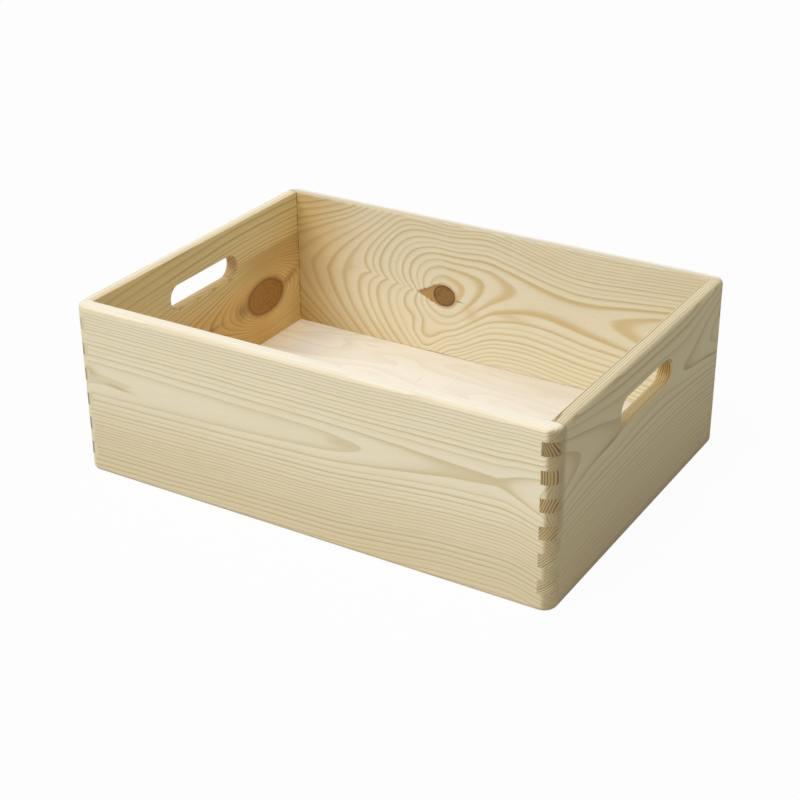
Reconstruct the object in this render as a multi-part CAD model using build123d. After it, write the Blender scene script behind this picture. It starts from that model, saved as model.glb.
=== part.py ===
from build123d import *
import os

# Wooden crate: four finger-jointed pine boards round a plywood bottom panel.
# Millimetres. The origin is on the ground under the middle of the crate. +X runs along the length,
# the front board faces -Y and +Z is up.

# Outside sizes
crate_length = 400.0
crate_depth = 290.0
crate_height = 140.0
board_thickness = 11.0

# Finger joints: the long boards hold the top and the bottom finger of each corner
finger_height = 10.5
top_finger_height = 10.0

# Edges rounded over once the boards are glued up: the upright corners over nearly the whole joint
corner_radius = 10.5
outer_rim_radius = 4.0
inner_rim_radius = 1.0

# Handle slots through the end boards, measured down from the top rim to the slot's middle
slot_length = 86.0
slot_height = 20.0
slot_drop = 35.0
slot_edge_radius = 2.5

# Bottom panel, resting on the lower cheek of a groove inside the four boards
panel_thickness = 4.0
groove_above_ground = 16.0
groove_depth = 5.0
panel_edge_clearance = 0.5
panel_top_clearance = 0.2

# Sizes that follow from the ones above
inside_length = crate_length - 2 * board_thickness
inside_depth = crate_depth - 2 * board_thickness
groove_height = panel_thickness + panel_top_clearance
finger_pitch = 2 * finger_height
end_board_fingers = int((crate_height - top_finger_height) // finger_pitch)


def standing_box(length, depth, height, foot):
    """A box centred on the upright axis, with its underside at the height of its foot."""
    standing = (Align.CENTER, Align.CENTER, Align.MIN)
    return Pos(0, 0, foot) * Box(length, depth, height, align=standing)


def rounded_walls():
    """All four walls as one ring, rounded over outside and along the inner rims."""
    block = standing_box(crate_length, crate_depth, crate_height, 0)
    block = fillet(block.edges().filter_by(Axis.Z), corner_radius)
    outer_faces = block.faces().sort_by(Axis.Z)
    block = fillet(outer_faces[0].edges() + outer_faces[-1].edges(), outer_rim_radius)
    ring = block - standing_box(inside_length, inside_depth, crate_height, 0)
    level_faces = ring.faces().sort_by(Axis.Z)
    rims = level_faces[0].inner_wires().edges() + level_faces[-1].inner_wires().edges()
    return fillet(rims, inner_rim_radius)


def panel_groove():
    """The stopped groove round the inside of the boards, as the space it takes up."""
    length = inside_length + 2 * groove_depth
    depth = inside_depth + 2 * groove_depth
    return standing_box(length, depth, groove_height, groove_above_ground)


def end_blank(end):
    """Space of the left (-1) or right (1) end board: a wall between the long boards, and its fingers."""
    blank = standing_box(board_thickness, inside_depth, crate_height, 0)
    for number in range(end_board_fingers):
        finger_top = crate_height - top_finger_height - number * finger_pitch
        blank += standing_box(board_thickness, crate_depth, finger_height, finger_top - finger_height)
    return Pos(end * (crate_length - board_thickness) / 2, 0, 0) * blank


def long_blank(side):
    """Space of the front (-1) or back (1) board: the full length, less the end boards' fingers."""
    blank = standing_box(crate_length, board_thickness, crate_height, 0)
    blank = Pos(0, side * (crate_depth - board_thickness) / 2, 0) * blank
    return blank - end_blank(-1) - end_blank(1)


def cut_handle_slot(board):
    """Cuts the stadium-shaped handle slot through an end board and rounds its edges over."""
    outline = Plane.YZ * SlotOverall(slot_length, slot_height)
    cutter = extrude(outline, crate_length, both=True)
    board -= Pos(0, 0, crate_height - slot_drop) * cutter
    slot_edges = [edge for face in board.faces() for edge in face.inner_wires().edges()]
    return fillet(slot_edges, slot_edge_radius)


def bottom_panel():
    """The plywood sheet, a little smaller than the groove that holds its edges."""
    reach = groove_depth - panel_edge_clearance
    length = inside_length + 2 * reach
    depth = inside_depth + 2 * reach
    return standing_box(length, depth, panel_thickness, groove_above_ground)


walls = rounded_walls()
groove = panel_groove()
nodes = {
    "front_board": (walls & long_blank(-1)) - groove,
    "back_board": (walls & long_blank(1)) - groove,
    "left_end_board": cut_handle_slot(walls & end_blank(-1)) - groove,
    "right_end_board": cut_handle_slot(walls & end_blank(1)) - groove,
    "bottom_panel": bottom_panel(),
}

os.makedirs("parts", exist_ok=True)
for name, piece in nodes.items():
    export_step(piece, f"parts/{name}.step")
    print(name, round(piece.volume), "mm3", len(piece.solids()), "solid")
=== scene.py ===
# %% [markdown]
# # A finger-jointed pine crate
# The object is an open crate: four pine boards that meet in finger joints, rounded over after the glue-up,
# with a handle slot through each end and a sheet of birch plywood held in a groove. The lesson goes the way
# a joiner goes: walls, fingers, slots, then the wood itself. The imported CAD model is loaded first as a
# fixed frame, and every piece is modelled in that frame, in metres, so nothing needs fitting afterwards.

# %% Load the frame
import math

import bpy
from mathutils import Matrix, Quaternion, Vector


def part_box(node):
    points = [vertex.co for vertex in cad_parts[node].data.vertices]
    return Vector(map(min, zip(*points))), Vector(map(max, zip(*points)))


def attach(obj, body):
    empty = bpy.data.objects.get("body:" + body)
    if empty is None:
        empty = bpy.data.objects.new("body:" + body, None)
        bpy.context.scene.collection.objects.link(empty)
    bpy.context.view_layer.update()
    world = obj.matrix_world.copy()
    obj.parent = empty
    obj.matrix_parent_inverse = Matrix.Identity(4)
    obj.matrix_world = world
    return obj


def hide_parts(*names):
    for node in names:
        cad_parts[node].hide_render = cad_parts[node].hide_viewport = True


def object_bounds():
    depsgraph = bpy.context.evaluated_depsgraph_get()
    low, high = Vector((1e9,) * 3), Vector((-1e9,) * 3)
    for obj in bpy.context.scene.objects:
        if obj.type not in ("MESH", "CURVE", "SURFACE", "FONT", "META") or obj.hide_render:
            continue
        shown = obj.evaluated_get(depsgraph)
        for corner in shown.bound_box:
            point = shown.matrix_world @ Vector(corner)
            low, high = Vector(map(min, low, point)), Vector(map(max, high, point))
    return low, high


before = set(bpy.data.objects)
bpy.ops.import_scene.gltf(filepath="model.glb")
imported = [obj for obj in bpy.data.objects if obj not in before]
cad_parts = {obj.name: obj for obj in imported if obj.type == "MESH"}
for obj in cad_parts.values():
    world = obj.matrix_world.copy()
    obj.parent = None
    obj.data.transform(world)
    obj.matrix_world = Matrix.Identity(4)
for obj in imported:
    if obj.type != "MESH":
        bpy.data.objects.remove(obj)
cad_low, cad_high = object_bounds()
print("CAD box from", tuple(cad_low), "to", tuple(cad_high))

# %% [markdown]
# ## Sizes
# The outside comes from the frame, so the pieces cannot drift away from it. The joiner's own sizes, such as
# the height of a finger or the radius of a rounding cutter, are written down once, in millimetres.

# %% Sizes
MM = 0.001
FINGER = 10.5 * MM
TOP_FINGER = 10 * MM
CORNER_RADIUS = 10.5 * MM
OUTER_RIM_RADIUS = 4 * MM
INNER_RIM_RADIUS = 1 * MM
SLOT_LENGTH = 86 * MM
SLOT_HEIGHT = 20 * MM
SLOT_DROP = 35 * MM
SLOT_EDGE_RADIUS = 2.5 * MM
GROOVE_DEPTH = 5 * MM
PANEL_TOP_CLEARANCE = 0.2 * MM
HAIRLINE = 0.09 * MM
OVERCUT = 1 * MM

front_low, front_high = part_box("front_board")
panel_low, panel_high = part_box("bottom_panel")
BOARD = front_high.y - front_low.y
INSIDE = Vector((cad_high.x - BOARD, cad_high.y - BOARD, 0))
CRATE_HEIGHT = cad_high.z - cad_low.z
FINGER_COUNT = int((CRATE_HEIGHT - TOP_FINGER) / (2 * FINGER))
print("Boards", round(BOARD / MM, 2), "mm thick, with", FINGER_COUNT, "fingers on each end board")

# %% [markdown]
# ## Helpers for modelling
# Operators act on whatever is selected, so each helper first clears the selection. A cube is only ever a
# blank: it is added at its size and place, and both are applied to its mesh, so the object stays at the
# origin.

# %% Blanks and selections


def blank(name, low, high):
    """A box of wood from its low to its high corner, active and alone in the selection."""
    bpy.ops.object.select_all(action="DESELECT")
    bpy.ops.mesh.primitive_cube_add(size=1, location=(low + high) / 2, scale=high - low)
    bpy.ops.object.transform_apply(location=True, rotation=True, scale=True)
    piece = bpy.context.active_object
    piece.name = name
    return piece


def pick(piece, kind, wanted):
    """Opens the piece in edit mode with only the wanted faces or edges selected."""
    bpy.ops.object.select_all(action="DESELECT")
    piece.select_set(True)
    bpy.context.view_layer.objects.active = piece
    bpy.ops.object.mode_set(mode="EDIT")
    bpy.ops.mesh.select_mode(type=kind)
    bpy.ops.mesh.select_all(action="DESELECT")
    bpy.ops.object.mode_set(mode="OBJECT")
    mesh = piece.data
    items = mesh.polygons if kind == "FACE" else mesh.edges
    count = 0
    for item in items:
        corners = [mesh.vertices[number].co for number in item.vertices]
        item.select = wanted(corners)
        count += item.select
    bpy.ops.object.mode_set(mode="EDIT")
    return count


def saw(piece, tool, operation):
    """Cuts a piece with another shape, or keeps what they share, and applies the cut."""
    bpy.ops.object.select_all(action="DESELECT")
    bpy.context.view_layer.objects.active = piece
    piece.select_set(True)
    cut = piece.modifiers.new(operation.lower(), "BOOLEAN")
    cut.operation = operation
    cut.object = tool
    cut.solver = "EXACT"
    bpy.ops.object.modifier_apply(modifier=cut.name)


# %% [markdown]
# ## The walls as one ring
# The maker rounds the crate over once it is glued up, so the rounding runs across the joints without a
# step. The same order is used here: a block gets its four upright edges bevelled, then its level edges. The
# inside is cut out, the inner rims are bevelled with a smaller radius, and the panel groove is cut. Each
# board is later taken out of this one ring. Bevelling four separate boards would leave steps at the corners.

# %% The rounded block
SAME_PLACE = 0.05 * MM


def near(value, target):
    return abs(value - target) < SAME_PLACE


def on_level(corners, level):
    return all(near(spot.z, level) for spot in corners)


walls = blank("walls", cad_low, cad_high)
pick(walls, "EDGE", lambda corners: not near(corners[0].z, corners[1].z))
bpy.ops.mesh.bevel(offset=CORNER_RADIUS, segments=14, affect="EDGES")
bpy.ops.object.mode_set(mode="OBJECT")
pick(walls, "EDGE", lambda corners: on_level(corners, cad_low.z) or on_level(corners, cad_high.z))
bpy.ops.mesh.bevel(offset=OUTER_RIM_RADIUS, segments=8, affect="EDGES")
bpy.ops.object.mode_set(mode="OBJECT")
print("Block:", len(walls.data.polygons), "faces")

# %% The inside, its rims and the groove
SLACK = 0.1 * MM
spill = Vector((0, 0, 10 * MM))
inside_low = Vector((-INSIDE.x, -INSIDE.y, cad_low.z)) - spill
inside_high = INSIDE + Vector((0, 0, cad_high.z)) + spill
inside = blank("inside", inside_low, inside_high)
saw(walls, inside, "DIFFERENCE")


def on_inner_rim(corners):
    level = on_level(corners, cad_low.z) or on_level(corners, cad_high.z)
    inner_x = all(abs(spot.x) < INSIDE.x + SLACK for spot in corners)
    inner_y = all(abs(spot.y) < INSIDE.y + SLACK for spot in corners)
    return level and inner_x and inner_y


rim_edges = pick(walls, "EDGE", on_inner_rim)
bpy.ops.mesh.bevel(offset=INNER_RIM_RADIUS, segments=4, affect="EDGES")
bpy.ops.object.mode_set(mode="OBJECT")

reach = Vector((GROOVE_DEPTH, GROOVE_DEPTH, 0))
groove_low = Vector((-INSIDE.x, -INSIDE.y, panel_low.z)) - reach
groove_high = INSIDE + reach + Vector((0, 0, panel_high.z + PANEL_TOP_CLEARANCE))
groove = blank("groove", groove_low, groove_high)
saw(walls, groove, "DIFFERENCE")
print("Ring:", rim_edges, "inner rim edges,", len(walls.data.polygons), "faces")

# %% [markdown]
# ## Fingers
# A finger joint is a comb. The blank of a board is bisected at the height of every finger, which marks
# strips on its two ends, and the strips that stay as fingers are extruded outwards. The end boards' fingers
# are made a hair thinner than their sockets: that leaves the thin dark line that a real joint shows. A comb
# stands a little past the crate on every side, and the ring trims it.

# %% Combs
finger_tops = [cad_high.z - TOP_FINGER - number * 2 * FINGER for number in range(FINGER_COUNT)]


def comb(name, low, high, axis, levels, is_finger):
    """A board blank with fingers on both ends along one axis, marked at these levels."""
    board = blank(name, low, high)
    for level in levels:
        pick(board, "FACE", lambda corners: True)
        bpy.ops.mesh.bisect(plane_co=(0, 0, level), plane_no=(0, 0, 1))
        bpy.ops.object.mode_set(mode="OBJECT")
    for end in (-1, 1):
        face_of_end = high[axis] if end > 0 else low[axis]

        def on_finger(corners):
            at_end = all(near(spot[axis], face_of_end) for spot in corners)
            return at_end and is_finger(sum(spot.z for spot in corners) / len(corners))

        step = [0, 0, 0]
        step[axis] = end * (BOARD + 2 * OVERCUT)
        pick(board, "FACE", on_finger)
        bpy.ops.mesh.extrude_region_move(TRANSFORM_OT_translate={"value": step})
        bpy.ops.object.mode_set(mode="OBJECT")
    return board


def in_end_finger(height):
    return any(top - FINGER < height < top for top in finger_tops)


def in_long_finger(height):
    return not in_end_finger(height)


# %% Four combs
long_levels = [level for top in finger_tops for level in (top - FINGER, top)]
long_boards = {}
for side, name in ((-1, "front_board"), (1, "back_board")):
    near_y, far_y = sorted((side * INSIDE.y, side * (cad_high.y + OVERCUT)))
    low = Vector((-INSIDE.x, near_y, cad_low.z - OVERCUT))
    high = Vector((INSIDE.x, far_y, cad_high.z + OVERCUT))
    long_boards[name] = comb("pine_" + name, low, high, 0, long_levels, in_long_finger)

end_levels = [level for top in finger_tops for level in (top - FINGER + HAIRLINE, top - HAIRLINE)]
end_boards = {}
for side, name in ((-1, "left_end_board"), (1, "right_end_board")):
    near_x, far_x = sorted((side * INSIDE.x, side * (cad_high.x + OVERCUT)))
    low = Vector((near_x, -INSIDE.y + HAIRLINE, cad_low.z - OVERCUT))
    high = Vector((far_x, INSIDE.y - HAIRLINE, cad_high.z + OVERCUT))
    end_boards[name] = comb("pine_" + name, low, high, 1, end_levels, in_end_finger)
boards = {**long_boards, **end_boards}
print("Combs:", {name: len(board.data.polygons) for name, board in boards.items()})

# %% [markdown]
# ## Rounded boards
# What a comb shares with the ring is the finished board: the comb gives the joints and the ring gives every
# rounded edge. An intersection keeps both exactly in line.

# %% Take each board out of the ring
for name, board in boards.items():
    saw(board, walls, "INTERSECT")
    print(name, len(board.data.polygons), "faces")

# %% [markdown]
# ## Handle slots
# A slot is a long hole with round ends. The cutter starts as a cylinder through both end boards. Half of
# its points are slid along the board to stretch the circle into a stadium. The marks of the fingers are
# dissolved first and the board is bisected at its middle, so that the hole lies between two simple faces.
# The edges of the hole are then bevelled on both faces, as a rounding cutter would follow them, so that a
# hand finds no sharp edge.

# %% Slot cutter
slide = (SLOT_LENGTH - SLOT_HEIGHT) / 2
cutter_length = 2 * cad_high.x + 100 * MM
bpy.ops.object.select_all(action="DESELECT")
bpy.ops.mesh.primitive_cylinder_add(
    vertices=48, radius=SLOT_HEIGHT / 2, depth=cutter_length, rotation=(0, math.pi / 2, 0),
    location=(0, slide, cad_high.z - SLOT_DROP),
)
bpy.ops.object.transform_apply(location=True, rotation=True, scale=True)
cutter = bpy.context.active_object
cutter.name = "slot_cutter"
for spot in cutter.data.vertices:
    if spot.co.y < slide - SAME_PLACE:
        spot.co.y -= 2 * slide
print("Slot cutter:", len(cutter.data.vertices), "points")

# %% Handle slots


def on_slot_edge(corners):
    flat = near(abs(corners[0].x), INSIDE.x) or near(abs(corners[0].x), cad_high.x)
    level = near(corners[0].x, corners[1].x)
    close_y = all(abs(spot.y) < SLOT_LENGTH / 2 + SLACK for spot in corners)
    close_z = all(abs(spot.z - cad_high.z + SLOT_DROP) < SLOT_HEIGHT / 2 + SLACK for spot in corners)
    return flat and level and close_y and close_z


for name, board in end_boards.items():
    pick(board, "FACE", lambda corners: True)
    bpy.ops.mesh.dissolve_limited(angle_limit=math.radians(0.5))
    bpy.ops.mesh.select_all(action="SELECT")
    bpy.ops.mesh.bisect(plane_co=(0, 0, 0), plane_no=(0, 1, 0))
    bpy.ops.object.mode_set(mode="OBJECT")
    saw(board, cutter, "DIFFERENCE")
    slot_edges = pick(board, "EDGE", on_slot_edge)
    bpy.ops.mesh.bevel(offset=SLOT_EDGE_RADIUS, segments=5, affect="EDGES")
    bpy.ops.object.mode_set(mode="OBJECT")
    print(name, slot_edges, "slot edges rounded")

# %% [markdown]
# ## Clean meshes
# Cuts leave doubled points behind. They are merged, the faces are turned outwards, and the shading is made
# smooth across the roundings and sharp at the joints. Weighted normals keep the flat faces flat.

# %% Finish the meshes
WELD = 0.002 * MM
for name, board in boards.items():
    pick(board, "FACE", lambda corners: True)
    bpy.ops.mesh.remove_doubles(threshold=WELD)
    bpy.ops.mesh.normals_make_consistent(inside=False)
    bpy.ops.object.mode_set(mode="OBJECT")
    bpy.ops.object.shade_smooth_by_angle(angle=math.radians(35))
    weighted = board.modifiers.new("flat_faces", "WEIGHTED_NORMAL")
    weighted.keep_sharp = True
    bpy.ops.object.modifier_apply(modifier=weighted.name)
    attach(board, "root")
    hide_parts(name)
for tool in (walls, inside, groove, cutter):
    bpy.data.objects.remove(tool)
print("Boards ready:", {name: len(board.data.vertices) for name, board in boards.items()})

# %% [markdown]
# ## Shader maths
# Wood is solid, so its figure is worked out in three dimensions: the rings are surfaces round the heart of
# the tree, and each face shows the cut through them. That takes a good deal of arithmetic. A small class
# wraps a socket, so that an ordinary Python sum adds the Math nodes. One method adds every other kind of
# node.

# %% Sockets as numbers


class Wire:
    """An output socket that can be added, multiplied and compared like a number."""

    def __init__(self, finish, socket):
        self.finish = finish
        self.socket = socket

    def maths(self, operation, *values):
        return self.finish.node("ShaderNodeMath", {"operation": operation}, dict(enumerate(values)))

    def __add__(self, other):
        return self.maths("ADD", self, other)

    def __radd__(self, other):
        return self.maths("ADD", other, self)

    def __sub__(self, other):
        return self.maths("SUBTRACT", self, other)

    def __rsub__(self, other):
        return self.maths("SUBTRACT", other, self)

    def __mul__(self, other):
        return self.maths("MULTIPLY", self, other)

    def __rmul__(self, other):
        return self.maths("MULTIPLY", other, self)

    def __truediv__(self, other):
        return self.maths("DIVIDE", self, other)

    def __rtruediv__(self, other):
        return self.maths("DIVIDE", other, self)

    def __neg__(self):
        return self.maths("MULTIPLY", self, -1)

    def __abs__(self):
        return self.maths("ABSOLUTE", self)

    def root(self):
        return self.maths("SQRT", self)

    def fraction(self):
        return self.maths("FRACT", self)

    def whole(self):
        return self.maths("FLOOR", self)

    def exp(self):
        return self.maths("EXPONENT", self)

    def at_least(self, floor):
        return self.maths("MAXIMUM", self, floor)

    def output(self, name):
        return Wire(self.finish, self.socket.node.outputs[name])


# %% Every other node


class Finish:
    """A material, or the world, and the one method that adds nodes to it."""

    def __init__(self, name, owner=None):
        self.material = owner or bpy.data.materials.new(name)
        self.material.use_nodes = True
        self.tree = self.material.node_tree
        self.tree.nodes.clear()

    def node(self, kind, settings=None, sockets=None, output=0):
        made = self.tree.nodes.new(kind)
        for key, value in (settings or {}).items():
            setattr(made, key, value)
        for key, value in (sockets or {}).items():
            if isinstance(value, Wire):
                self.tree.links.new(value.socket, made.inputs[key])
            else:
                made.inputs[key].default_value = value
        return Wire(self, made.outputs[output]) if made.outputs else None

    def ease(self, value, start, end):
        """0 before the start, 1 after the end, and a smooth rise between."""
        sockets = {"Value": value, "From Min": start, "From Max": end}
        return self.node("ShaderNodeMapRange", {"interpolation_type": "SMOOTHSTEP"}, sockets)

    def vector(self, x, y, z):
        return self.node("ShaderNodeCombineXYZ", None, {0: x, 1: y, 2: z})

    def noise(self, place, detail=2.0, roughness=0.5):
        """Smooth random values about zero, from -0.5 to 0.5."""
        sockets = {"Vector": place, "Scale": 1.0, "Detail": detail, "Roughness": roughness}
        return self.node("ShaderNodeTexNoise", None, sockets) - 0.5

    def mix(self, factor, under, over, how="MIX"):
        """One colour over another."""
        settings = {"data_type": "RGBA", "blend_type": how, "clamp_factor": True}
        return self.node("ShaderNodeMix", settings, {0: factor, 6: under, 7: over}, output=2)


def paint(red, green, blue):
    """A colour as seen on a screen, 0 to 255, as the linear colour that Blender mixes."""
    parts = [value / 255 for value in (red, green, blue)]
    parts = [value / 12.92 if value <= 0.04045 else ((value + 0.055) / 1.055) ** 2.4 for value in parts]
    return (*parts, 1.0)


print("Pale pine in linear colour:", [round(part, 3) for part in paint(226, 211, 172)])

# %% [markdown]
# ## Where a point is in its board
# Every board reads the same three measures in millimetres: how far along the grain, how far below the rim,
# and how deep behind the outer face. The figure of each board is then written as a joiner would point it
# out.

# %% Measures along, below and into a board


def millimetres(finish):
    """The three Object coordinates in millimetres."""
    coordinates = finish.node("ShaderNodeTexCoord", None, None, output="Object")
    scaled = finish.node("ShaderNodeVectorMath", {"operation": "SCALE"}, {0: coordinates, "Scale": 1 / MM})
    across = finish.node("ShaderNodeSeparateXYZ", None, {0: scaled})
    return across, across.output("Y"), across.output("Z")


def measures(finish, name):
    """Millimetres along the board, below the rim and behind the outer face."""
    x, y, z = millimetres(finish)
    half_length, half_depth, height = cad_high.x / MM, cad_high.y / MM, cad_high.z / MM
    drop = height - z
    if name == "front_board":
        return x + half_length, drop, y + half_depth
    if name == "back_board":
        return x + half_length, drop, half_depth - y
    if name == "left_end_board":
        return y + half_depth, drop, x + half_length
    return y + half_depth, drop, half_length - x


def bell(value, middle, width):
    """1 at the middle, falling smoothly to 0 over about twice the width."""
    away = (value - middle) / width
    return (-(away * away)).exp()


# %% [markdown]
# ## The figure of each board
# A flat-sawn board shows long tongues, because the saw runs nearly along the rings. In each function the
# heart of the tree lies a set distance behind a face, and the number of years from the heart is worked out
# from that distance. Where the heart rises or sinks along the board, the tongues open and close. A knot is a
# branch that crosses the board: its outline is an oval, and the rings swell round it.

# %% Ovals and rings


def oval(along, drop, centre, radii, tilt=0):
    """0 at the centre of a tilted oval, 1 on its outline and more outside."""
    turn = math.radians(tilt)
    aside = along - centre[0]
    below = drop - centre[1]
    length = (math.cos(turn) * aside + math.sin(turn) * below) / radii[0]
    height = (math.cos(turn) * below - math.sin(turn) * aside) / radii[1]
    return (length * length + height * height).root()


def distance(*parts):
    """Distance from the heart of the tree, from its parts along each direction."""
    total = parts[0] * parts[0]
    for part in parts[1:]:
        total = total + part * part
    return total.root()


def beyond(value, start):
    """How far a value is past its start, and 0 before it."""
    return (value - start).at_least(0)


# %% Front board


def front_figure(finish, along, drop, deep):
    """A long tongue that points right, a second one with a waist, and a small arrow at the left."""
    heart_drop = 58.6 - 0.015 * along - 4.0 * finish.ease(along, 220, 330)
    heart_drop = heart_drop + 3.5 * finish.ease(along, 365, 400)
    rise = 0.0035 * along - 1.2 + 0.87 * finish.ease(along, 204, 327) - 1.6 * finish.ease(along, 355, 410)
    ring = distance(drop - heart_drop, 45 - deep)
    return rise + (ring - 45 - 0.4 * beyond(ring, 72)) / 1.9


# %% Back board


def back_figure(finish, along, drop, deep):
    """Rings crowd and dent to the left of the knot, close over it and open into lobes at its upper right."""
    left = beyond(158, along)
    right = beyond(along, 158)
    sink = 71 - 0.17 * left + 14 * finish.ease(left, 80, 115)
    heart_drop = 60 + 6 * finish.ease(left, 30, 100) - 13 * finish.ease(right, 2, 50)
    heart_drop = heart_drop + 8 * finish.ease(right, 60, 140)
    above = beyond(heart_drop, drop)
    below = beyond(drop, heart_drop)
    above = above * (0.87 + 0.27 * finish.ease(along, 110, 160) + 0.29 * finish.ease(along, 160, 280))
    close = (1 - finish.ease(below, 24, 46)) * finish.ease(along, 112, 132)
    below = below * (1 - 0.36 * (1 - finish.ease(along, 135, 166)) * (1 - close))
    dent = 14 * finish.ease(left, 12, 30) * (1 - 1.25 * finish.ease(left, 72, 112))
    dent = dent * (-(abs(drop - sink) / 9)).exp()
    reach_left = 85 - 85 * (-((left + dent) / 66)).exp()
    reach_right = 36.5 - 36.5 * (-(right / 33)).exp() - 0.0007 * beyond(right, 75) * beyond(right, 75)
    ring = distance(above + below, 70 + (deep - BOARD / MM), reach_left + reach_right)
    crowd = (0.2 + 0.7 * finish.ease(drop, 55, 80)) * (1 - finish.ease(along, 70, 130))
    return (ring - 70 + crowd * beyond(ring, 101)) / 2.5 - 0.844


# %% End boards


def left_figure(finish, along, drop, deep):
    """Near-level lines that part round a large red knot towards the back."""
    reach = oval(along, drop, (227.5, 78.5), (25.5, 15.5), 5)
    part = 1 - 1 / (reach * reach).at_least(1.0)
    aside = (drop - 79) * (0.35 + 0.65 * part)
    ring = distance(aside, 29 + deep - BOARD / MM, beyond(227, along) / 6, beyond(along, 236) / 5)
    arcs = 6 * (-(1.2 * beyond(reach, 1))).exp()
    return (ring - 29 - 0.44 * beyond(ring, 50) - 0.2 * beyond(ring, 68)) / 2.05 - arcs


def right_figure(finish, along, drop, deep):
    """A tongue from each end that closes near the handle slot, under wide level rings."""
    heart_drop = 36 + (5 * bell(along, 95, 30) + 9 * bell(along, 225, 40)) * bell(drop, 40, 20)
    rise = 1.25 - 2.5 * (-(along / 55)).exp() - 0.000165 * beyond(along, 175) * beyond(along, 175)
    ring = distance(drop - heart_drop, 40 - deep)
    return rise + (ring - 40 + 0.4 * beyond(ring, 50)) / 4.1


print("Figures for", len(boards), "boards")

# %% [markdown]
# ## Pine
# Within one year's ring the wood starts pale, darkens to tan latewood and stops at a sharp edge, where the
# next spring began. That saw-tooth is what makes pine read as pine. On the back board, cut close to the
# bark, its edge is softer. Fine streaks and short resin flecks follow the fibres, and slow clouds of warmer
# and cooler wood lie over everything. A picture of wood could be wrapped round the boards instead, but it
# would break at every corner, where the rings of real wood run on.

# %% What the parts of one finish share


class Wood:
    """One board's finish, with the measures, noises and directions that all its parts read."""

    def __init__(self, name, tones):
        finish = Finish("pine_" + name)
        along, drop, deep = measures(finish, name)
        self.finish = finish
        self.tones = tones
        self.along, self.drop, self.deep = along, drop, deep
        self.drift = finish.noise(finish.vector(along / 110, drop / 40, deep / 40), 1.0)
        self.ripple = finish.noise(finish.vector(along / 22, drop / 9, deep / 9), 2.0)
        self.fibre = finish.noise(finish.vector(along / 30, drop / 0.8, deep / 0.8), 3.0, 0.6)
        self.cloud = finish.noise(finish.vector(along / 80, drop / 30, deep / 30), 2.0)
        facing = finish.node("ShaderNodeTexCoord", None, None, output="Normal")
        sides = finish.node("ShaderNodeSeparateXYZ", None, {0: facing})
        self.upward = sides.output("Z")
        self.grain_axis = sides if name in long_boards else sides.output("Y")
        self.near_rim = 1 - finish.ease(drop, 4.5, 7)
        self.on_rim = finish.ease(self.upward, 0.4, 0.9) * self.near_rim

    def vigour(self, years):
        """A random strength for each whole year."""
        return self.finish.node("ShaderNodeTexWhiteNoise", {"noise_dimensions": "1D"}, {"W": years.whole()})


# %% Rings on the faces


def year_lines(wood, figure, contrast):
    """The number of years at a point, and how dark its latewood is."""
    finish, tones = wood.finish, wood.tones
    bent = wood.drop + tones.get("sway", 1.0) * (3.0 * wood.drift + 0.9 * wood.ripple)
    rings = figure(finish, wood.along, bent, wood.deep)
    uneven = finish.noise(finish.vector(rings * 0.45, 3.7, 8.2), 0.0) * finish.ease(rings, 1.0, 4.0)
    rings = rings + 0.9 * uneven
    age = rings.fraction()
    edge = tones.get("edge", 0.95)
    late = 0.35 * finish.ease(age, 0.2, edge) + 0.65 * finish.ease(age, edge - 0.35, edge)
    late = late * (1 - finish.ease(age, edge, 1.0)) * (0.45 + 0.55 * wood.vigour(rings)) * contrast
    return rings, late


def face_colour(wood, late):
    """Pale wood with tan latewood, fine streaks, warm clouds and short flecks."""
    finish, tones = wood.finish, wood.tones
    fine = finish.vector(wood.along / 5, wood.drop / 0.35, wood.deep / 0.35)
    fleck = finish.ease(finish.noise(fine, 0.0), 0.27, 0.36)
    colour = finish.mix(late, tones["pale"], tones["tan"])
    colour = finish.mix((0.45 * wood.fibre + 0.06).at_least(0), colour, tones["tan"])
    colour = finish.mix((0.9 * wood.cloud).at_least(0), colour, tones["warm"])
    return finish.mix(0.25 * fleck, colour, tones["end_dark"])


# %% [markdown]
# ## Rims and sawn ends
# On the ends of the fibres the rings are cut square, so they stand close together, brown and strong, and
# fade towards the foot. The sanded rim is paler than the faces below it. On the back and the left it has
# painted shade towards its inner edge, and on every board its rounding has a little painted shade that tones
# down the highlight there. The way that a surface faces tells them apart: upwards it is a rim, along the
# grain it is a sawn end. A mask on the normal follows the roundings softly, where a colour given to single
# faces would stop at a hard edge.

# %% Rims


def end_lines(wood):
    """How dark the rings are where they are cut square."""
    finish = wood.finish
    heart_drop, heart_deep, width = wood.tones["end_rings"]
    away = distance(wood.drop - heart_drop + 2.5 * wood.drift, heart_deep - wood.deep)
    years = away / width + 0.35 * wood.ripple
    age = years.fraction()
    line = finish.ease(age, 0.35, 0.7) * (1 - finish.ease(age, 0.85, 1.0))
    return line * (0.4 + 0.6 * wood.vigour(years))


def sand_rim(wood, colour, lines):
    """Pale sanded wood along the top, with painted shade towards its inner edge and on its rounding."""
    finish, tones, deep = wood.finish, wood.tones, wood.deep
    inner = tones.get("rim_inner", tones["rim_line"])
    # Painted shade: on the back and the left the rim darkens towards its inner edge, away from its bright
    # outer side.
    sanded = finish.mix(finish.ease(deep, 3.5, 9) * tones["rim_shade"], tones["rim"], inner)
    outer_grey = (1 - finish.ease(deep, 2, 4)) * tones.get("rim_grey", 0)
    sanded = finish.mix(outer_grey, sanded, paint(205, 198, 176))
    sanded = finish.mix(lines, sanded, tones["rim_line"])
    sanded = finish.mix((0.5 * wood.fibre).at_least(0), sanded, tones["rim_line"])
    colour = finish.mix(0.85 * wood.on_rim, colour, sanded)
    # Painted shade: the rounding that faces the sun is darkened a little, which tones down its highlight.
    rounding = finish.ease(wood.upward, 0.15, 0.5) * (1 - finish.ease(wood.upward, 0.92, 0.99))
    return finish.mix(rounding * wood.near_rim, colour, paint(242, 240, 238), "MULTIPLY")


# %% Sawn ends


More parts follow.
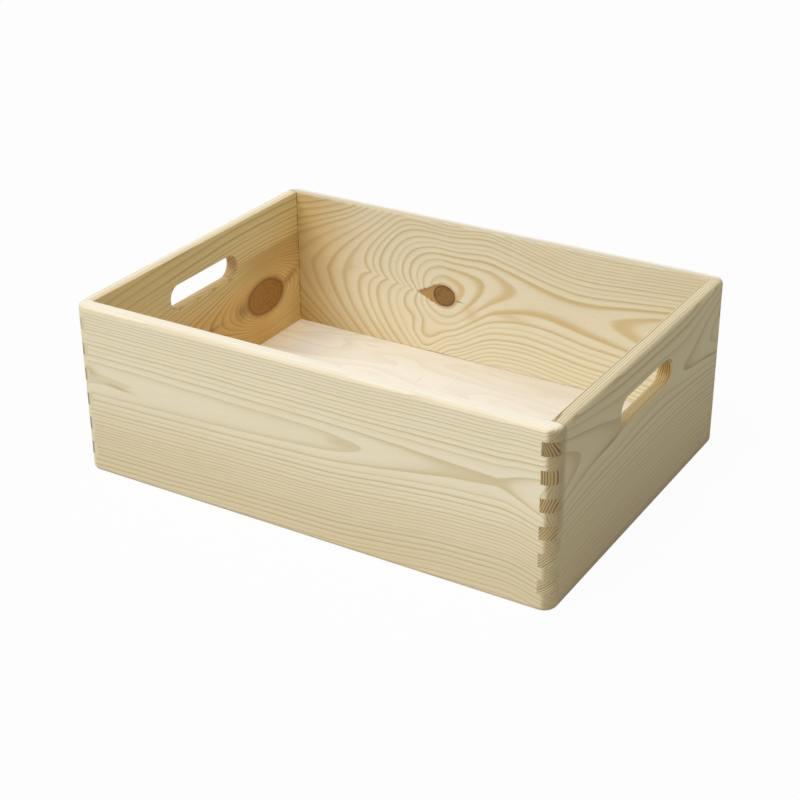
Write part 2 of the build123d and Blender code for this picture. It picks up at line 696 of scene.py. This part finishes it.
def saw_ends(wood, colour, lines):
    """End grain on the fingers and in the handle slot, paler on low fingers and where it is worn."""
    finish, tones = wood.finish, wood.tones
    along, drop = wood.along, wood.drop
    by_slot = finish.ease(along, 60, 75) * (1 - finish.ease(along, 215, 230))
    pale = finish.mix(by_slot, tones["end_pale"], tones.get("slot_pale", tones["end_pale"]))
    dark = finish.mix(by_slot, tones["end_dark"], tones.get("slot_dark", tones["end_dark"]))
    foot = finish.ease(drop, 62, 105)
    pale = finish.mix(0.85 * foot, pale, tones["foot_pale"])
    dark = finish.mix(0.85 * foot, dark, tones["foot_dark"])
    sawn = finish.mix(lines, pale, dark)
    sawn = finish.mix((0.8 * wood.cloud + 0.3 * wood.fibre).at_least(0), sawn, dark)
    first = (1 - finish.ease(drop, 21, 29)) * tones.get("first_finger", 0)
    sawn = finish.mix(first, sawn, dark)
    if "worn" in tones:
        worn = finish.ease(wood.deep, *tones["worn_from"])
        worn = worn.at_least(tones.get("worn_top", 0) * (1 - finish.ease(drop, 30, 38)))
        worn = worn * (1 - finish.ease(along, 15, 25))
        sawn = finish.mix(0.9 * worn, sawn, tones["worn"])
    end_grain = finish.ease(abs(wood.grain_axis), 0.15, 0.5)
    in_slot = finish.ease(abs(wood.upward), 0.25, 0.7) * bell(drop, SLOT_DROP / MM, 14)
    return finish.mix((end_grain + 0.75 * in_slot) * (1 - wood.on_rim), colour, sawn)


# %% [markdown]
# ## A torn edge and knots
# At the front of the right board a splinter has lifted along the inner edge of the rim: a brown split runs
# out into a hairline, its darkness partly painted shade in the torn hollow. A knot is the foot of a branch,
# with small rings of its own, a dark skin and a halo of resin in the wood around it. Both are laid over the
# finished colour, because they cross everything else.

# %% Torn edge


def tear_edge(wood, colour):
    """A ragged split by the rim's inner edge, partly painted shade, and the thin sliver that is left
    standing.
    """
    finish, along, deep = wood.finish, wood.along, wood.deep
    start, end = wood.tones["torn"]
    ragged = finish.noise(finish.vector(along / 2.5, wood.drop / 2.5, deep / 2.5), 1.0)
    torn = (1 - finish.ease(wood.drop, 2.5, 4)) * finish.ease(along, start, start + 1.5)
    bite = deep + ragged - 1.5 * finish.ease(along, start, end)
    width = 1.0 - 0.65 * finish.ease(along, start + 10, end)
    # The dark split is partly brown torn wood and partly painted shade in the torn hollow.
    split = finish.ease(width - abs(bite - 8.4), 0, 0.4)
    split = split * (1 - finish.ease(along + 6 * wood.ripple, 1.4 * end, 1.7 * end))
    sliver = finish.ease(bite, 9.2, 9.6) * (1 - finish.ease(along, end - 6, end + 4))
    colour = finish.mix(0.6 * torn * sliver, colour, paint(206, 178, 122))
    return finish.mix(0.85 * torn * split, colour, paint(136, 102, 54))


# %% Knots


def grow_knot(wood, colour, knot):
    """A branch through the board, a little wider at the inner face than at the outer one."""
    finish, along, drop, deep, ripple = wood.finish, wood.along, wood.drop, wood.deep, wood.ripple
    grown = 1 - knot["taper"] + knot["taper"] / (BOARD / MM) * deep
    mottle = finish.noise(finish.vector(along / 5, drop / 4, deep / 5), 2.0)
    reach = oval(along, drop, knot["centre"], knot["radii"], knot["tilt"]) / grown
    reach = reach + 0.08 * ripple + 0.07 * mottle
    years = (reach * knot["years"] + 0.5 * ripple).fraction()
    core = finish.mix(finish.ease(years, 0.3, 0.95) * 0.45, knot["core"], knot["ring"])
    core = finish.mix(finish.ease(reach, 0.8, 0.97), core, knot["rim"])
    core = finish.mix((2.2 * mottle).at_least(0), core, knot["rim"])
    colour = finish.mix(0.55 * (1 - finish.ease(reach, 1.0, knot["halo_reach"])), colour, knot["halo"])
    inside_knot = 1 - finish.ease(reach, 1 - knot["blur"], 1 + knot["blur"])
    return finish.mix(inside_knot, colour, core)


# %% [markdown]
# ## The finish of one board
# The parts now go on like coats of paint, the widest first: the figure of the faces, the marks, the rim, the
# sawn ends, and last the torn edge and the knot, which cover what lies under them. The harder latewood
# stands a little proud of the sanded face, so it also feeds the bump.

# %% Pine finish


def wood_shader(finish, colour, roughness, bump):
    """Joins a colour, a roughness and a bump into the finished material."""
    sockets = {"Base Color": colour, "Roughness": roughness, "Normal": bump}
    shader = finish.node("ShaderNodeBsdfPrincipled", None, sockets)
    finish.node("ShaderNodeOutputMaterial", None, {"Surface": shader})
    return finish.material


def pine(name, figure, marks, tones, knot=None, contrast=1.0):
    """The finish of one board: its figure, its marks, its tones, and its knot if it has one."""
    wood = Wood(name, tones)
    finish = wood.finish
    rings, late = year_lines(wood, figure, contrast)
    colour = marks(wood, face_colour(wood, late), rings)
    lines = end_lines(wood)
    colour = sand_rim(wood, colour, lines)
    colour = saw_ends(wood, colour, lines)
    if "torn" in tones:
        colour = tear_edge(wood, colour)
    if knot is not None:
        colour = grow_knot(wood, colour, knot)
    relief = late * 0.25 + wood.fibre * 0.5
    bump = finish.node("ShaderNodeBump", None, {"Strength": 0.12, "Distance": 0.0004, "Height": relief})
    return wood_shader(finish, colour, 0.56 + 0.1 * wood.fibre, bump)


# %% [markdown]
# ## Marks of single boards
# A few marks make each board itself. The front has two soft streaks at its left and a yellower, darker foot,
# partly its own tone and partly painted shade towards the floor. The back has golden lobes beside its dark
# knot, a pointed tail and a small crack, and a dark line where the left end meets it. Towards its left end
# and its foot it is browner, partly its own colour and partly painted shade and warm light reflected from
# the left wall, and a thin line of painted shade lies where the panel meets it. The left end has a golden
# zone and dark smears round its red knot. Its front is paler, partly painted light that lifts the shade by
# the front wall, and its inner face is warmer and darker towards the foot, partly its tone and partly
# painted shade and reflected light. The right end has a pitch streak under the handle, darker wood at its
# front corner, and a foot that darkens towards the floor in painted shade. Each is a soft mask over the
# measures, which is easier to move about than a painted picture.

# %% Marks of the front


def front_marks(wood, colour, rings):
    """A pale arrow and two soft streaks at the left, a tongue's dark tip and a yellower foot, partly painted
    shade.
    """
    finish, along, drop, ripple = wood.finish, wood.along, wood.drop, wood.ripple
    arrow = bell(along, 24, 26) * bell(drop, 57, 7)
    colour = finish.mix(0.25 * arrow, colour, paint(233, 222, 191))
    patch = bell(along, 7, 9) * bell(drop - 3 * ripple, 53, 4)
    lines = bell(along, 38, 12) * bell(drop - 0.06 * along - 2 * ripple, 59, 1.4)
    colour = finish.mix(0.95 * (patch + lines), colour, paint(197, 178, 122))
    tip = bell(along, 232, 12) * bell(drop - 0.5 * ripple, 53.5, 2.5)
    colour = finish.mix(0.4 * tip, colour, paint(196, 177, 124))
    # Painted shade: the foot darkens and yellows towards the floor, partly the board's own tone.
    foot = finish.ease(drop, 50, 135)
    return finish.mix(foot, colour, paint(237, 231, 220), "MULTIPLY")


# %% Marks of the back


def knot_tail(wood, colour, inner_face):
    """The frayed, pointed tail of torn fibres to the left of the dark knot, and the crack to its right."""
    finish, along, drop = wood.finish, wood.along, wood.drop
    frayed = finish.noise(finish.vector(along / 3.5, drop / 2.2, wood.deep / 3.5), 2.0)
    taper = (along - 131) / 27
    off_middle = abs(drop - 66.2 + taper)
    inside_tail = finish.ease(taper * 12.5 - off_middle + 3.5 * frayed, -0.9, 1.3)
    inside_tail = inside_tail * finish.ease(along, 130, 135) * (1 - finish.ease(along, 152, 157))
    tail = finish.mix(finish.ease(taper + 2 * frayed, 0.1, 0.9), paint(178, 140, 80), paint(172, 134, 72))
    edge = finish.ease(off_middle - taper * 12.5 - 5 * frayed, -3.2, -0.8)
    edge = edge * (1 - 0.6 * finish.ease(drop, 65, 68))
    tail = finish.mix(0.7 * edge, tail, paint(128, 92, 50))
    colour = finish.mix(inside_tail * inner_face, colour, tail)
    crack = finish.ease(0.8 - abs(drop - 67.5 - 3 * wood.ripple), 0, 0.6) * bell(along, 172, 4)
    return finish.mix(0.8 * crack * inner_face, colour, paint(104, 70, 36))


def back_marks(wood, colour, rings):
    """Gold and painted shade at left, knot lobes and tail, painted shade at the panel, a dark corner line.
    """
    finish, along, drop = wood.finish, wood.along, wood.drop
    inner_face = finish.ease(wood.deep, 10.0, 10.8)
    # Browner towards the left end and the foot: partly the wood's own colour, partly painted shade and warm
    # light reflected from the left wall.
    gold_and_painted_shade = 1 - finish.ease(along, 8, 95)
    colour = finish.mix(0.95 * gold_and_painted_shade, colour, paint(230, 207, 158), "MULTIPLY")
    low_gold_and_painted_shade = finish.ease(drop, 88, 128) * (1 - finish.ease(along, 60, 170))
    colour = finish.mix(0.7 * low_gold_and_painted_shade, colour, paint(232, 210, 164), "MULTIPLY")
    smear = bell(along, 220, 14) * bell(drop, 70.5, 3.5)
    blush = bell(along, 184, 6) * bell(drop, 77, 6)
    colour = finish.mix(0.45 * (smear + blush), colour, paint(206, 170, 110))
    age = rings.fraction()
    lobe = finish.ease(age, 0.4, 0.75) * (1 - finish.ease(age, 0.82, 1.0))
    lobe = lobe * (1 - finish.ease(rings, 2.6, 4.2)) * finish.ease(along, 146, 166)
    lobe = lobe * (1 - finish.ease(drop, 66, 78))
    colour = finish.mix(0.6 * lobe, colour, paint(208, 181, 126))
    colour = knot_tail(wood, colour, inner_face)
    # Painted shade: a thin dark line just above the panel stands in for the shade in the gap where the panel
    # meets the back.
    painted_gap_shade = 0.05 * finish.ease(along, 95, 115) + 0.4 * bell(along, 150, 22)
    painted_gap_shade = painted_gap_shade * finish.ease(drop, 118.9, 119.3) * inner_face
    colour = finish.mix(painted_gap_shade, colour, paint(120, 98, 60))
    pitch = 2 * FINGER / MM
    turn = ((drop + (pitch - TOP_FINGER / MM)) / pitch).fraction()
    step = finish.ease(turn, 0.48, 0.52)
    seam = finish.ease(12.0 - along, 0, 0.5) * inner_face
    return finish.mix(seam * (0.2 + 0.4 * step), colour, paint(96, 70, 36))


# %% Marks of the ends


def left_marks(wood, colour, rings):
    """Calm wood and painted light at the front and top, a warmer foot partly in painted shade, and knot
    smears.
    """
    finish, along, drop, ripple = wood.finish, wood.along, wood.drop, wood.ripple
    # Paler, calmer wood at the front and along the top; at the front it is also painted light that lifts the
    # shade by the front wall.
    calm_and_painted_light = (1 - finish.ease(along, 60, 160)).at_least(0.4 * (1 - finish.ease(drop, 20, 45)))
    colour = finish.mix(0.55 * calm_and_painted_light, colour, paint(252, 222, 152))
    # Warmer and darker towards the foot, most on the inner face: partly the wood's tone, partly painted
    # shade and warm light reflected inside the crate.
    inner = 0.4 + 0.6 * finish.ease(wood.deep, 4, 9)
    warm_tone_and_painted_shade = finish.ease(drop + 0.12 * along, 38, 88) * inner
    colour = finish.mix(0.85 * warm_tone_and_painted_shade, colour, paint(255, 235, 203), "MULTIPLY")
    zone = finish.ease(drop, 35, 37.5) * (1 - finish.ease(drop, 45, 80)) * finish.ease(along, 175, 230)
    colour = finish.mix(0.5 * zone, colour, paint(190, 146, 76))
    # Darker still low at the front part of the inner face: partly tone, partly painted shade.
    low = finish.ease(drop, 55, 75) * (1 - finish.ease(along, 215, 260)) * inner
    colour = finish.mix(0.6 * low, colour, paint(246, 220, 178), "MULTIPLY")
    smear = bell(along, 193, 9) * bell(drop - 8 * ripple, 79, 7)
    streak = bell(along, 264, 12) * bell(drop + 0.3 * (along - 258) - 3 * ripple, 75, 4)
    point = bell(along, 150, 14) * bell(drop - 2 * ripple, 80, 2)
    colour = finish.mix(0.6 * smear + 0.45 * point, colour, paint(138, 98, 46))
    return finish.mix(0.6 * streak, colour, paint(166, 108, 48))


def right_marks(wood, colour, rings):
    """A pitch streak under the slot, a dark front corner and a wedge, and a foot darkened by painted shade.
    """
    finish, along, drop = wood.finish, wood.along, wood.drop
    patch = bell(along, 85, 22) + 0.8 * bell(along, 216, 14) + 1.3 * bell(along, 264, 20)
    streak = finish.ease(rings, 0.72, 0.95) * (1 - finish.ease(rings, 0.97, 1.02))
    streak = streak * finish.ease(drop, 44, 48)
    colour = finish.mix(0.65 * streak * patch, colour, paint(142, 106, 58))
    corner = (1 - finish.ease(along, 9, 17)) * (1 - finish.ease(drop, 60, 95))
    colour = finish.mix(0.6 * corner, colour, paint(140, 112, 64))
    # Painted shade: the foot darkens towards the floor, most in the last ten millimetres.
    foot = finish.ease(drop, 55, 140)
    colour = finish.mix(foot, colour, paint(236, 229, 216), "MULTIPLY")
    colour = finish.mix(finish.ease(drop, 128, 139), colour, paint(222, 214, 198), "MULTIPLY")
    wedge = finish.ease(rings, -0.6, -0.02) * (1 - finish.ease(rings, -0.03, 0.0))
    wedge = wedge * (1 - finish.ease(along, 40, 46))
    return finish.mix(0.4 * wedge, colour, paint(186, 152, 98))


# %% [markdown]
# ## Tones
# The four boards came from different planks: the front is fresh and pale, the back creamy, the left end
# golden and the right end greyer. The right end's tones are also darker: partly its own tone, partly painted
# shade, as that side lies away from the sun. The tones are written as they look on a screen. Lengths are in
# millimetres, and "end_rings" gives the heart's place below the rim and behind the face, and the width of a
# year.

# %% Tones
fresh = {
    "pale": paint(235, 224, 194), "tan": paint(202, 183, 136), "warm": paint(223, 206, 166),
    "end_pale": paint(184, 167, 124), "end_dark": paint(142, 121, 76), "end_rings": (58, 45, 1.5),
    "foot_pale": paint(190, 174, 132), "foot_dark": paint(158, 138, 92),
    "worn": paint(228, 215, 182), "worn_from": (-2, -1),
    "rim": paint(232, 225, 209), "rim_line": paint(224, 213, 189), "rim_shade": 0.0,
}
# Painted shade: the right end's tones are darker than its wood, partly its own greyer tone.
shaded = {
    "pale": paint(207, 192, 147), "tan": paint(178, 155, 102), "warm": paint(197, 176, 128),
    "end_pale": paint(186, 159, 106), "end_dark": paint(74, 42, 16), "end_rings": (37, 62, 1.7),
    "foot_pale": paint(204, 187, 144), "foot_dark": paint(128, 106, 64),
    "slot_pale": paint(216, 184, 118), "slot_dark": paint(120, 84, 34),
    "rim": paint(214, 201, 168), "rim_line": paint(134, 114, 74), "rim_shade": 0.0,
    "sway": 0.4, "torn": (11.5, 33), "first_finger": 0.25,
}
creamy = {
    **fresh, "pale": paint(229, 219, 192), "tan": paint(199, 178, 128), "warm": paint(218, 201, 158),
    "rim": paint(236, 230, 217), "rim_line": paint(205, 193, 165), "rim_shade": 0.95, "edge": 0.8,
    "rim_inner": paint(184, 172, 144),
}
golden = {
    "pale": paint(240, 222, 168), "tan": paint(180, 148, 82), "warm": paint(220, 189, 120),
    "end_pale": paint(156, 146, 118), "end_dark": paint(116, 104, 76), "end_rings": (80, 60, 1.7),
    "foot_pale": paint(154, 144, 116), "foot_dark": paint(118, 106, 78),
    "slot_pale": paint(220, 184, 126), "slot_dark": paint(116, 78, 36),
    "worn": paint(224, 211, 176), "worn_from": (6.4, 7.8), "worn_top": 0.6,
    "rim": paint(232, 224, 204), "rim_line": paint(206, 192, 158), "rim_shade": 0.85, "rim_grey": 0.6,
    "rim_inner": paint(194, 179, 143),
}
print("Pale face of the fresh board:", [round(part, 3) for part in fresh["pale"][:3]])

# %% Knots and finished boards
dark_knot = {
    "centre": (158.4, 65.2), "radii": (10.4, 9.5), "tilt": 0, "taper": 0.25, "years": 3,
    "core": paint(140, 102, 52), "ring": paint(118, 80, 38), "rim": paint(94, 60, 26),
    "halo": paint(176, 140, 80), "halo_reach": 1.4, "blur": 0.06,
}
red_knot = {
    "centre": (227.5, 78.5), "radii": (26.5, 15.8), "tilt": 5, "taper": 0.2, "years": 4,
    "core": paint(172, 120, 50), "ring": paint(150, 98, 38), "rim": paint(138, 88, 34),
    "halo": paint(176, 132, 66), "halo_reach": 1.3, "blur": 0.1,
}
finishes = {
    "front_board": pine("front_board", front_figure, front_marks, fresh),
    "back_board": pine("back_board", back_figure, back_marks, creamy, dark_knot, contrast=0.88),
    "left_end_board": pine("left_end_board", left_figure, left_marks, golden, red_knot),
    "right_end_board": pine("right_end_board", right_figure, right_marks, shaded, contrast=1.1),
}
for name, board in boards.items():
    board.data.materials.clear()
    board.data.materials.append(finishes[name])
print("Pine finishes:", list(finishes))

# %% [markdown]
# ## Birch plywood
# The bottom is peeled birch veneer: almost no figure, a pinkish cream, with short fine flecks along the
# grain and two scratches. Beside the left wall it is warmer and paler, partly its own tone and partly
# painted light reflected from the wall. Towards the right end and the back it is darker, partly its own tone
# and partly painted shade from the walls. The CAD node already has the right shape, so it stays and only
# gets this finish.

# %% Birch finish


def birch():
    """Slow waves of peeled veneer, flecks, two scratches and a fine fibre."""
    finish = Finish("birch_plywood")
    x, y, z = millimetres(finish)
    cloud = finish.noise(finish.vector(x / 190, y / 55, z / 55), 2.5)
    waves = (cloud * 11).fraction()
    fibre = finish.noise(finish.vector(x / 14, y / 0.7, z / 0.7), 3.0, 0.6)
    fleck = finish.ease(finish.noise(finish.vector(x / 5, y / 0.5, z / 0.5), 1.0), 0.2, 0.3)
    # Painted light: warmer, paler colour by the left wall stands in for light reflected from it, over the
    # sheet's own tone; towards the right end the colour darkens as painted shade.
    left_tone_and_painted_light = finish.mix(finish.ease(x, -190, -150), paint(247, 234, 206), paint(228, 223, 213))
    base = finish.mix(finish.ease(x, -150, 160), left_tone_and_painted_light, paint(216, 210, 201))
    colour = finish.mix(finish.ease(waves, 0.2, 1.0) * 0.35, base, paint(205, 193, 174))
    dash = finish.ease(0.35 - abs(x + 36 - 0.04 * (y - 82)), 0, 0.3) * bell(y, 82.5, 6)
    scratch = finish.ease(0.3 - abs(x + 9), 0, 0.3) * bell(y, 94, 16)
    colour = finish.mix(0.6 * dash + 0.3 * scratch, colour, paint(128, 106, 82))
    colour = finish.mix(0.25 * fleck, colour, paint(196, 166, 134))
    # Painted shade: the sheet darkens towards the back wall, partly its own tone.
    back_tone_and_painted_shade = finish.ease(y, 62, 146) * finish.ease(x, -200, -120)
    colour = finish.mix(back_tone_and_painted_shade, colour, paint(228, 224, 215), "MULTIPLY")
    streaks = finish.mix(0.5 + 0.3 * fibre, paint(60, 40, 20), paint(255, 250, 240))
    colour = finish.mix(0.4, colour, streaks, "SOFT_LIGHT")
    bump = finish.node("ShaderNodeBump", None, {"Strength": 0.1, "Distance": 0.0003, "Height": fibre})
    return wood_shader(finish, colour, 0.55 + 0.1 * fibre, bump)


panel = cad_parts["bottom_panel"]
panel.data.materials.clear()
panel.data.materials.append(birch())
print("Panel finish on", panel.name)

# %% [markdown]
# ## Floor
# The picture is a plain studio shot on white. The floor is a large sheet of pale paper that keeps the soft
# shadow of the crate. To the camera, and in any reflection, it is lifted towards white by the Light Path
# node: that makes the ground white without throwing more light on the wood.

# %% Floor
FLOOR_SIZE = 14
PAPER_GREY = (0.5, 0.5, 0.5, 1)
WHITE = (1, 1, 1, 1)
LIFT = 0.96
bpy.ops.object.select_all(action="DESELECT")
bpy.ops.mesh.primitive_plane_add(size=FLOOR_SIZE, location=(0, 0, cad_low.z))
floor = bpy.context.active_object
floor.name = "studio_floor"


def seen_by_eye(finish):
    """1 for rays that reach the camera straight, by a mirror or through glass, and 0 for rays of light."""
    path = finish.node("ShaderNodeLightPath", None, None, output="Is Camera Ray")
    return path.at_least(path.output("Is Glossy Ray")).at_least(path.output("Is Transmission Ray"))


paper = Finish("studio_paper")
matt = paper.node("ShaderNodeBsdfDiffuse", None, {"Color": PAPER_GREY})
white = paper.node("ShaderNodeEmission", None, {"Color": WHITE, "Strength": 1.0})
lifted = paper.node("ShaderNodeMixShader", None, {0: seen_by_eye(paper) * LIFT, 1: matt, 2: white})
paper.node("ShaderNodeOutputMaterial", None, {"Surface": lifted})
floor.data.materials.append(paper.material)
print("Floor", [round(side, 1) for side in floor.dimensions], "m")

# %% [markdown]
# ## Light
# A wide sun from above and from the front left is the soft main light: the front and the rims are bright,
# the right end lies in shade and the left wall shades its own corner. The sky only fills the shade. Its
# strength is low for light and 1 for the eye, so the background stays white.

# %% Light
SKY_FILL = 0.27
SUN_STRENGTH = 3.2
SUN_WIDTH = math.radians(54)
scene = bpy.context.scene
scene.view_settings.view_transform = "Standard"
studio = bpy.data.worlds.new("studio")
studio.use_nodes = True
scene.world = studio
sky = Finish("sky", studio)
strength = SKY_FILL + (1 - SKY_FILL) * seen_by_eye(sky)
dome = sky.node("ShaderNodeBackground", None, {"Color": WHITE, "Strength": strength})
sky.node("ShaderNodeOutputWorld", None, {"Surface": dome})

bpy.ops.object.select_all(action="DESELECT")
bpy.ops.object.light_add(type="SUN", location=(-1, -1.2, 2))
sun = bpy.context.active_object
sun.name = "soft_sun"
sun.data.energy = SUN_STRENGTH
sun.data.angle = SUN_WIDTH
toward = Vector((0.15, 0.45, -0.88))
sun.rotation_euler = toward.to_track_quat("-Z", "Y").to_euler()
print("Sun from", tuple(round(-part, 2) for part in toward))

# %% [markdown]
# ## Camera
# The camera stands where the photographer stood: a little above the crate, looking across its front right
# corner from some way off, so that the sides hardly converge. Its place is given by two angles and a
# distance from a point in the crate.

# %% Camera
SENSOR_WIDTH = 36
FOCAL_LENGTH = 76.755
AZIMUTH = math.radians(31.275)
ELEVATION = math.radians(27.174)
ROLL = math.radians(-0.48)
TARGET = Vector((-4.65, 0, 45.53)) * MM
DISTANCE = 1326.8 * MM
level = math.cos(ELEVATION)
backwards = Vector((math.sin(AZIMUTH) * level, -math.cos(AZIMUTH) * level, math.sin(ELEVATION)))
lens = bpy.data.cameras.new("camera")
lens.sensor_width = SENSOR_WIDTH
lens.lens = FOCAL_LENGTH
camera = bpy.data.objects.new("camera", lens)
scene.collection.objects.link(camera)
camera.location = TARGET + DISTANCE * backwards
aim = (-backwards).to_track_quat("-Z", "Y") @ Quaternion((0, 0, 1), ROLL)
camera.rotation_euler = aim.to_euler()
scene.camera = camera
print("Camera at", tuple(round(part, 3) for part in camera.location))
